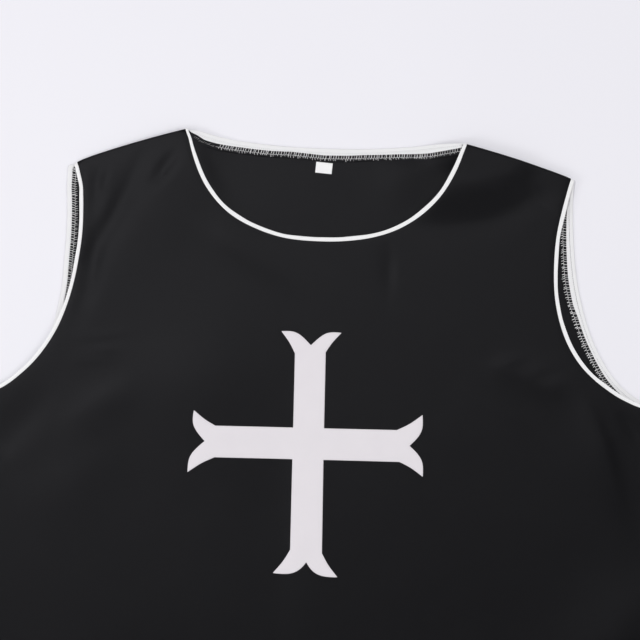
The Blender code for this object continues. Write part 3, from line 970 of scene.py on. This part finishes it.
# %% Tag
TAG_MIDDLE = np.array([1.2, 3.9])
TAG_SIZE = np.array([14.5, 9.6])
TAG_TURN = math.radians(-4.5)
TAG_GRID = (16, 12)
TAG_UP, TAG_THICK = 0.45, 0.35
TAG_CURL, TAG_WAVE, TAG_WAVES = 0.75, 0.25, 3.0
u, v = np.meshgrid(np.linspace(-0.5, 0.5, TAG_GRID[0]), np.linspace(-0.5, 0.5, TAG_GRID[1]))
local = np.column_stack([u.ravel() * TAG_SIZE[0], v.ravel() * TAG_SIZE[1]])
turn = np.array([[math.cos(TAG_TURN), math.sin(TAG_TURN)], [-math.sin(TAG_TURN), math.cos(TAG_TURN)]])
flat = local @ turn + TAG_MIDDLE
free_end = np.clip(0.5 - v.ravel(), 0.0, 1.0)
low = BACK_THICK + TAG_UP + TAG_CURL * free_end ** 2 + TAG_WAVE * np.sin(TAG_WAVES * u.ravel()) * free_end
nx, ny = TAG_GRID
faces = [(r * nx + c, r * nx + c + 1, (r + 1) * nx + c + 1, (r + 1) * nx + c)
         for r in range(ny - 1) for c in range(nx - 1)]
tag = wall("size_tag", flat, faces, low, low + TAG_THICK)
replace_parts(tag, "size_label")
print("tag height, mm:", low.min().round(2), "to", (low.max() + TAG_THICK).round(2))

# %% [markdown]
# ## Cross
#
# The cross is cut from pale cloth and laid on the chest. Its four arms differ a little, as hand-cut arms
# do, so each is a row of measured points: the bar's corner, a point of the fork, the notch, the other
# point, the other corner and the inner corner before the next arm. One function draws half a fork from
# them: a hollow flare from the bar to the point, then a full lip back into the notch.

# %% Cross outline
Arm = namedtuple("Arm", "corner tip notch far_tip far_corner inner full")
CROSS_ARMS = [
    Arm((75.0, -251.7), (95.8, -264.2), (83.4, -237.3),
        (94.0, -209.9), (71.9, -223.8), (8.1, -224.2), 0.60),
    Arm((7.6, -157.6), (21.1, -140.1), (-5.6, -151.8),
        (-31.9, -140.2), (-19.4, -159.5), (-19.0, -224.4), 0.55),
    Arm((-87.0, -224.6), (-106.2, -211.4), (-96.2, -238.4),
        (-110.4, -266.2), (-87.0, -252.4), (-18.9, -252.2), 0.55),
    Arm((-18.5, -331.5), (-33.2, -352.4), (-4.0, -342.0),
        (23.8, -354.3), (9.5, -333.7), (8.4, -251.9), 0.74),
]
FLARE = 0.06
LIP_START = 0.45
LIP_BULGE = 0.06
FORK_STEP = 1.2
BAR_STEP, BAR_LEAST = 3.0, 4.0


def half_fork(corner, tip, notch, crown, full):
    """From the bar round one point into the notch. The crown is the notch's foot on the line between
    the two points, and full says how far the lip keeps to that line."""
    corner, tip, notch, crown = (np.array(p) for p in (corner, tip, notch, crown))
    side = (tip - corner) @ (crown - tip) * (crown - tip) / ((crown - tip) @ (crown - tip))
    middle = (corner + tip) / 2.0 - side / np.linalg.norm(side) * FLARE * np.linalg.norm(tip - corner)
    out = (crown - notch) * LIP_BULGE
    flare = bezier(corner, middle, middle, tip)
    lip = bezier(tip, tip + LIP_START * (crown - tip) + out, tip + full * (crown - tip) + out, notch)
    return resample(np.vstack([resample(flare, FORK_STEP), resample(lip, FORK_STEP)[1:]]), FORK_STEP)


def cross_ring():
    """The whole outline, with more points along its straight bars."""
    rows = []
    for arm in CROSS_ARMS:
        tip, span = np.array(arm.tip), np.array(arm.far_tip) - arm.tip
        crown = tip + span * ((np.array(arm.notch) - tip) @ span) / (span @ span)
        rows.append(half_fork(arm.corner, arm.tip, arm.notch, crown, arm.full))
        rows.append(half_fork(arm.far_corner, arm.far_tip, arm.notch, crown, arm.full)[::-1][1:])
        rows.append(np.array([arm.inner]))
    ring = np.vstack(rows)
    parts = [resample(np.array([a, b]), BAR_STEP)[:-1] if np.linalg.norm(b - a) > BAR_LEAST else a[None]
             for a, b in zip(ring, np.roll(ring, -1, axis=0))]
    return np.vstack(parts)


print("points round the cross:", len(cross_ring()))

# %% [markdown]
# The sheet is made from the front cloth's own heights, moved up, so it follows every crease. Its rim is
# thinner than its middle, as a pressed edge is, and catches a fine line of light.

# %% Cross cloth
CROSS_OFF = 0.06
CROSS_THICK = 0.28
CROSS_STEP = 4.0
RIM_WIDE, RIM_SHARE = 0.7, 0.35
ring = cross_ring()
flat, faces = fill(ring, CROSS_STEP, (RIM_WIDE,))
edge_away = distance(flat, np.vstack([ring, ring[:1]]))
low = front_top(flat) + CROSS_OFF
high = low + CROSS_THICK * (RIM_SHARE + (1.0 - RIM_SHARE) * ease(edge_away / RIM_WIDE))
cross = wall("cross_cloth", flat, faces, low, high)
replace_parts(cross, "cross_applique")
print("cross:", len(faces) * 2, "triangles; size, mm:", np.ptp(flat, axis=0).round(1).tolist())

# %% [markdown]
# ## Hem
#
# The hem is turned up twice and sewn with black thread, so it shows only as a line of short stitches in
# a shallow groove. The stitches are one mesh of small tubes that follow the hem's curve.

# %% Hem stitches
HEM_STITCH, HEM_THREAD = 3.2, 0.2
HEM_LINE = HEM_DEEP - 3.0
STITCH_SHARES = (0.08, 0.3, 0.6, 0.82)
STITCH_HEIGHTS = [-0.10, 0.10, 0.10, -0.10]
hem_line = resample(FRONT["hem"], HEM_STITCH)
hem_line = hem_line - normals(hem_line) * HEM_LINE
dashes = []
for a, b in zip(hem_line[1:-2], hem_line[2:-1]):
    spots = np.array([a + (b - a) * share for share in STITCH_SHARES])
    dashes.append((np.column_stack([spots, front_top(spots) + STITCH_HEIGHTS]), HEM_THREAD))
hem_stitches = join_tubes("hem_stitches", dashes)
print("hem stitches:", len(dashes))

# %% [markdown]
# ## Finishes
#
# Materials are built from nodes. What several of them share goes into a node group: it is made once, has
# named values going in and coming out, and each material sets its own values there. Three helpers keep
# the cells below readable: a new group, one Math node, and a noise at the place on the object.


# %% Tools for nodes
def new_group(name, inputs, outputs):
    """A node group with named values going in and coming out."""
    group = bpy.data.node_groups.new(name, "ShaderNodeTree")
    for label, value in inputs:
        socket = group.interface.new_socket(label, in_out="INPUT", socket_type="NodeSocketFloat")
        socket.default_value = value
    for label in outputs:
        group.interface.new_socket(label, in_out="OUTPUT", socket_type="NodeSocketFloat")
    return group, group.nodes.new("NodeGroupInput"), group.nodes.new("NodeGroupOutput")


def math_node(tree, operation, a, b=None, clamp=False):
    """One Math node. Each of its inputs is a number or another node's output."""
    made = tree.nodes.new("ShaderNodeMath")
    made.operation = operation
    made.use_clamp = clamp
    for socket, value in zip(made.inputs, (a, b)):
        if value is None:
            continue
        if isinstance(value, (int, float)):
            socket.default_value = value
        else:
            tree.links.new(value, socket)
    return made.outputs[0]


def noise_node(tree, detail):
    """Noise at the place on the object."""
    place = tree.nodes.new("ShaderNodeTexCoord")
    made = tree.nodes.new("ShaderNodeTexNoise")
    made.inputs["Detail"].default_value = detail
    tree.links.new(place.outputs["Object"], made.inputs["Vector"])
    return made


# %% [markdown]
# ## Weave, shared by every cloth
#
# All these cloths are woven: threads pass over and under each other. One node group makes that from the
# place on the cloth: two sets of ridges, chosen by a chequer. Each material sets its own thread count.
# It puts out a height for bump and a mask of the gaps, with a second, larger unevenness of the yarn.


# %% Weave group
def weave_group():
    """Plain weave in the plane of the cloth."""
    group, given, result = new_group("plain_weave", [("Threads per mm", 2.4), ("Yarn size mm", 9.0)],
                                     ["Height", "Gaps", "Yarn"])
    place = group.nodes.new("ShaderNodeTexCoord")
    axes = group.nodes.new("ShaderNodeSeparateXYZ")
    group.links.new(place.outputs["Object"], axes.inputs[0])
    count = math_node(group, "MULTIPLY", given.outputs["Threads per mm"], 1000.0)
    warp = math_node(group, "MULTIPLY", axes.outputs["X"], count)
    weft = math_node(group, "MULTIPLY", axes.outputs["Y"], count)
    ridges = []
    for axis in (warp, weft):
        turns = math_node(group, "MULTIPLY", axis, math.pi)
        ridges.append(math_node(group, "ABSOLUTE", math_node(group, "SINE", turns)))
    cells = math_node(group, "ADD", math_node(group, "FLOOR", warp), math_node(group, "FLOOR", weft))
    over = math_node(group, "PINGPONG", cells, 1.0)
    under = math_node(group, "SUBTRACT", 1.0, over)
    height = math_node(group, "ADD", math_node(group, "MULTIPLY", ridges[0], over),
                       math_node(group, "MULTIPLY", ridges[1], under))
    group.links.new(height, result.inputs["Height"])
    both = math_node(group, "MULTIPLY", ridges[0], ridges[1])
    group.links.new(math_node(group, "SUBTRACT", 1.0, both, True), result.inputs["Gaps"])
    yarn = noise_node(group, 3.0)
    scale = math_node(group, "DIVIDE", 1000.0, given.outputs["Yarn size mm"])
    group.links.new(scale, yarn.inputs["Scale"])
    group.links.new(yarn.outputs["Fac"], result.inputs["Yarn"])
    return group


WEAVE = weave_group()
print("weave group outputs:", [s.name for s in WEAVE.interface.items_tree if s.in_out == "OUTPUT"])

# %% [markdown]
# ## Cloth materials
#
# A new material comes with one shader, the Principled BSDF, and all the rest feeds it. No real cloth has
# one flat colour, so each colour is mixed from a darker and a lighter tone by the mask of a group.


# %% Tools for materials
def new_material(name):
    """A material, its nodes and its shader."""
    made = bpy.data.materials.new(name)
    made.use_nodes = True
    return made, made.node_tree, made.node_tree.nodes["Principled BSDF"]


def add_group(tree, group):
    """A node group, placed in a material."""
    made = tree.nodes.new("ShaderNodeGroup")
    made.node_tree = group
    return made


def mixed_colour(tree, mask, dark, light):
    """A colour between two tones, by a mask."""
    mix = tree.nodes.new("ShaderNodeMix")
    mix.data_type = "RGBA"
    tree.links.new(mask, mix.inputs["Factor"])
    mix.inputs["A"].default_value = (*dark, 1.0)
    mix.inputs["B"].default_value = (*light, 1.0)
    return mix.outputs["Result"]


# %% [markdown]
# The black cloth is a smooth matt polyester: very dark and a little cool, with one broad, soft
# highlight. White binding, pale cross and tag are the same idea with other colours and thread counts,
# and a trace of sheen from their loose fibres. The back bindings and bands take a greyer copy of the
# white binding cloth; the grey is painted shade, since they lie low and in shade. One function builds
# them all from a row of values.

# %% Cloth
Cloth = namedtuple("Cloth", "dark light threads yarn rough bump sheen specular")
CLOTHS = {
    "matt_black_cloth": Cloth(
        (0.0024, 0.0024, 0.0030), (0.0036, 0.0036, 0.0044), 2.6, 11.0, 0.36, 0.4, 0.0, 0.232),
    "white_binding_cloth": Cloth(
        (0.82, 0.82, 0.825), (0.90, 0.90, 0.905), 3.0, 6.0, 0.66, 0.5, 0.10, 0.3),
    # painted shade: the same white binding cloth, greyer, for the back bindings and bands that lie in
    # shade
    "white_binding_cloth_painted_shade": Cloth(
        (0.76, 0.76, 0.77), (0.83, 0.83, 0.84), 3.0, 6.0, 0.66, 0.5, 0.05, 0.3),
    "pale_cross_cloth": Cloth(
        (0.69, 0.66, 0.69), (0.75, 0.72, 0.75), 3.4, 16.0, 0.55, 0.3, 0.05, 0.3),
    "tag_tape": Cloth(
        (0.86, 0.86, 0.87), (0.94, 0.94, 0.94), 1.8, 5.0, 0.6, 0.8, 0.05, 0.3),
}
COOL_TINT = (0.94, 0.94, 1.0, 1.0)
SHEEN_ROUGH = 0.45
HEIGHT_SHARE, YARN_SHARE = 0.45, 0.55
GAP_ROUGH = 0.16
BUMP_METRES = 0.0001


def woven(name, row):
    made, tree, shader = new_material(name)
    shader.inputs["Sheen Weight"].default_value = row.sheen
    shader.inputs["Sheen Roughness"].default_value = SHEEN_ROUGH
    shader.inputs["Specular IOR Level"].default_value = row.specular
    shader.inputs["Specular Tint"].default_value = COOL_TINT
    weave = add_group(tree, WEAVE)
    weave.inputs["Threads per mm"].default_value = row.threads
    weave.inputs["Yarn size mm"].default_value = row.yarn
    tone = math_node(tree, "ADD", math_node(tree, "MULTIPLY", weave.outputs["Height"], HEIGHT_SHARE),
                     math_node(tree, "MULTIPLY", weave.outputs["Yarn"], YARN_SHARE), True)
    tree.links.new(mixed_colour(tree, tone, row.dark, row.light), shader.inputs["Base Color"])
    spread = math_node(tree, "MULTIPLY", weave.outputs["Gaps"], GAP_ROUGH)
    tree.links.new(math_node(tree, "ADD", spread, row.rough, True), shader.inputs["Roughness"])
    raised = tree.nodes.new("ShaderNodeBump")
    raised.inputs["Strength"].default_value = row.bump
    raised.inputs["Distance"].default_value = BUMP_METRES
    tree.links.new(weave.outputs["Height"], raised.inputs["Height"])
    tree.links.new(raised.outputs["Normal"], shader.inputs["Normal"])
    return made


cloths = [woven(name, row) for name, row in CLOTHS.items()]
BLACK_CLOTH, WHITE_CLOTH, SHADED_BAND_CLOTH, PALE_CLOTH, TAG_CLOTH = cloths
print("cloth materials:", [made.name for made in cloths])

# %% [markdown]
# Thread is spun, so its brightness changes along its length. A noise that is stretched along no single
# direction is enough at this size: the tubes themselves give the thread its form. The three threads
# share it as a second node group, which puts out one value, the tone.

# %% Thread
SPUN_PER_METRE = 1400.0
SPUN_ROUGH = 0.2


def spun_group():
    group, given, result = new_group("spun_thread", [("Changes per m", SPUN_PER_METRE)], ["Tone"])
    spun = noise_node(group, 2.0)
    group.links.new(given.outputs["Changes per m"], spun.inputs["Scale"])
    group.links.new(spun.outputs["Fac"], result.inputs["Tone"])
    return group


SPUN = spun_group()


def thread(name, dark, light, rough):
    made, tree, shader = new_material(name)
    shader.inputs["Specular IOR Level"].default_value = 0.3
    shader.inputs["Sheen Weight"].default_value = 0.1
    tone = add_group(tree, SPUN).outputs["Tone"]
    tree.links.new(mixed_colour(tree, tone, dark, light), shader.inputs["Base Color"])
    spread = math_node(tree, "MULTIPLY", tone, SPUN_ROUGH)
    tree.links.new(math_node(tree, "ADD", spread, rough, True), shader.inputs["Roughness"])
    return made


WHITE_THREAD = thread("white_overlock_thread", (0.62, 0.62, 0.63), (0.94, 0.94, 0.94), 0.5)
# painted shade: white stitches on a white band, made grey for the shadows in their dips
PAINTED_SHADE_THREAD = thread("seam_thread_painted_shade", (0.50, 0.50, 0.50), (0.72, 0.72, 0.72), 0.5)
BLACK_THREAD = thread("black_hem_thread", (0.010, 0.010, 0.011), (0.022, 0.022, 0.024), 0.45)
print("thread materials:", [made.name for made in (WHITE_THREAD, PAINTED_SHADE_THREAD, BLACK_THREAD)])

# %% [markdown]
# Each piece now gets its material. Each row also names a slot, the library's plain name for what the
# piece is made of. The two panels also take the place of their solids, as the strips, the tag and the
# cross have done where they were made.

# %% Dress every piece
DRESS = [
    (BLACK_CLOTH, "black_cloth", [front_cloth, back_cloth, *allowances]),
    (WHITE_CLOTH, "white_binding", front_trims),
    # painted shade: back bindings and bands take the greyer copy of the white binding cloth
    (SHADED_BAND_CLOTH, "white_binding", [*back_trims, *bands]),
    (PALE_CLOTH, "pale_applique", [cross]),
    (TAG_CLOTH, "white_tag", [tag]),
    (WHITE_THREAD, "overlocked_edge", loops),
    # painted shade: the grey seam thread stands for the shadows of the white stitches
    (PAINTED_SHADE_THREAD, "white_binding", seam_stitches),
    (BLACK_THREAD, "black_cloth", [hem_stitches]),
]
for material, slot, pieces in DRESS:
    for piece in pieces:
        piece.data.materials.append(material)
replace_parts(front_cloth, "front_panel")
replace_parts(back_cloth, "back_panel")
print("dressed pieces:", sum(len(pieces) for _, _, pieces in DRESS))

# %% [markdown]


# %% [markdown]
# ## Floor, light and camera
#
# The garment lies on a pale surface with a trace of lilac. It is a plain sheet, wide enough to fill the
# picture, with a very faint unevenness of tone. It lies a little below the cloth's own zero, so the two
# never fight for the same place, and it is declared as stage, since it isn't part of the garment.

# %% Floor
FLOOR_HALF = 6.0
FLOOR_Z = -0.0004
CORNERS = [(-1, -1), (1, -1), (1, 1), (-1, 1)]
FLOOR_DARK, FLOOR_LIGHT = (0.79, 0.785, 0.83), (0.81, 0.805, 0.85)
mesh = bpy.data.meshes.new("floor")
mesh.from_pydata([(FLOOR_HALF * x, FLOOR_HALF * y, FLOOR_Z) for x, y in CORNERS], [], [(0, 1, 2, 3)])
floor = add_object("floor", mesh)
paint, tree, shader = new_material("pale_floor")
shader.inputs["Specular IOR Level"].default_value = 0.2
shader.inputs["Roughness"].default_value = 0.8
grain = noise_node(tree, 2.0)
grain.inputs["Scale"].default_value = 5.0
tone = mixed_colour(tree, grain.outputs["Fac"], FLOOR_DARK, FLOOR_LIGHT)
tree.links.new(tone, shader.inputs["Base Color"])
mesh.materials.append(paint)
floor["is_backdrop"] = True
print("floor, m:", 2.0 * FLOOR_HALF, "square")

# %% [markdown]
# One soft light overhead, towards the upper left, gives the cloth its form. A weak low light from the
# left and a wide fill from the right open the shadows. Those two don't shine in the cloth, since more
# highlights would make it look wet. A pale room lights the rest, and it too is weaker for glossy rays,
# so that the black cloth stays black.

# %% Light
VIEW_MIDDLE = np.array([1.7, -129.5]) + SHIFT
ROOM = 0.455
ROOM_SHINE = 0.15
ROOM_COLOUR = (0.995, 0.985, 1.0, 1.0)


def add_light(name, place, size, power, shines=True):
    lamp = bpy.data.lights.new(name, "AREA")
    lamp.shape = "DISK"
    lamp.size = size
    lamp.energy = power
    made = add_object(name, lamp)
    made.location = place
    aim = Vector((VIEW_MIDDLE[0] * MM, VIEW_MIDDLE[1] * MM, 0.0)) - made.location
    made.rotation_euler = aim.to_track_quat("-Z", "Y").to_euler()
    made.visible_glossy = shines


add_light("main_soft_light", (-0.55, 0.75, 2.1), 1.0, 21.4)
add_light("low_left_light", (-1.5, -0.45, 1.0), 0.6, 6.9, shines=False)
add_light("right_fill_light", (1.6, 0.2, 1.6), 1.2, 10.7, shines=False)
world = bpy.data.worlds.new("pale_room")
world.use_nodes = True
tree = world.node_tree
room = tree.nodes["Background"]
room.inputs["Color"].default_value = ROOM_COLOUR
rays = tree.nodes.new("ShaderNodeLightPath")
less = math_node(tree, "MULTIPLY", rays.outputs["Is Glossy Ray"], ROOM - ROOM_SHINE)
tree.links.new(math_node(tree, "SUBTRACT", ROOM, less), room.inputs["Strength"])
bpy.context.scene.world = world
bpy.context.scene.view_settings.view_transform = "Standard"
print("lights:", [made.name for made in bpy.data.lights])

# %% [markdown]
# The camera looks straight down, turned a little. Its height follows from the width that the picture
# shows and the lens: a long lens far away keeps the raised folds from leaning outwards.

# %% Camera
PICTURE_POINTS, POINT_MM = 640, 0.878
PICTURE_WIDE = PICTURE_POINTS * POINT_MM
LENS = 95.0
SENSOR = 36.0
TURN = math.radians(1.715)
eye = bpy.data.cameras.new("overhead_camera")
eye.lens = LENS
eye.sensor_width = SENSOR
eye.sensor_fit = "HORIZONTAL"
camera = add_object("overhead_camera", eye)
camera.location = (VIEW_MIDDLE[0] * MM, VIEW_MIDDLE[1] * MM, PICTURE_WIDE * MM * LENS / SENSOR)
camera.rotation_euler = (0.0, 0.0, TURN)
bpy.context.scene.camera = camera
print("camera height, m:", round(camera.location.z, 3))

# %% [markdown]
# Last, the box of everything made is printed.

# %% Size of the finished cloth
low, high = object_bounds()
print("visual box, mm:", [round(1000 * v, 1) for v in (*low, *high)])
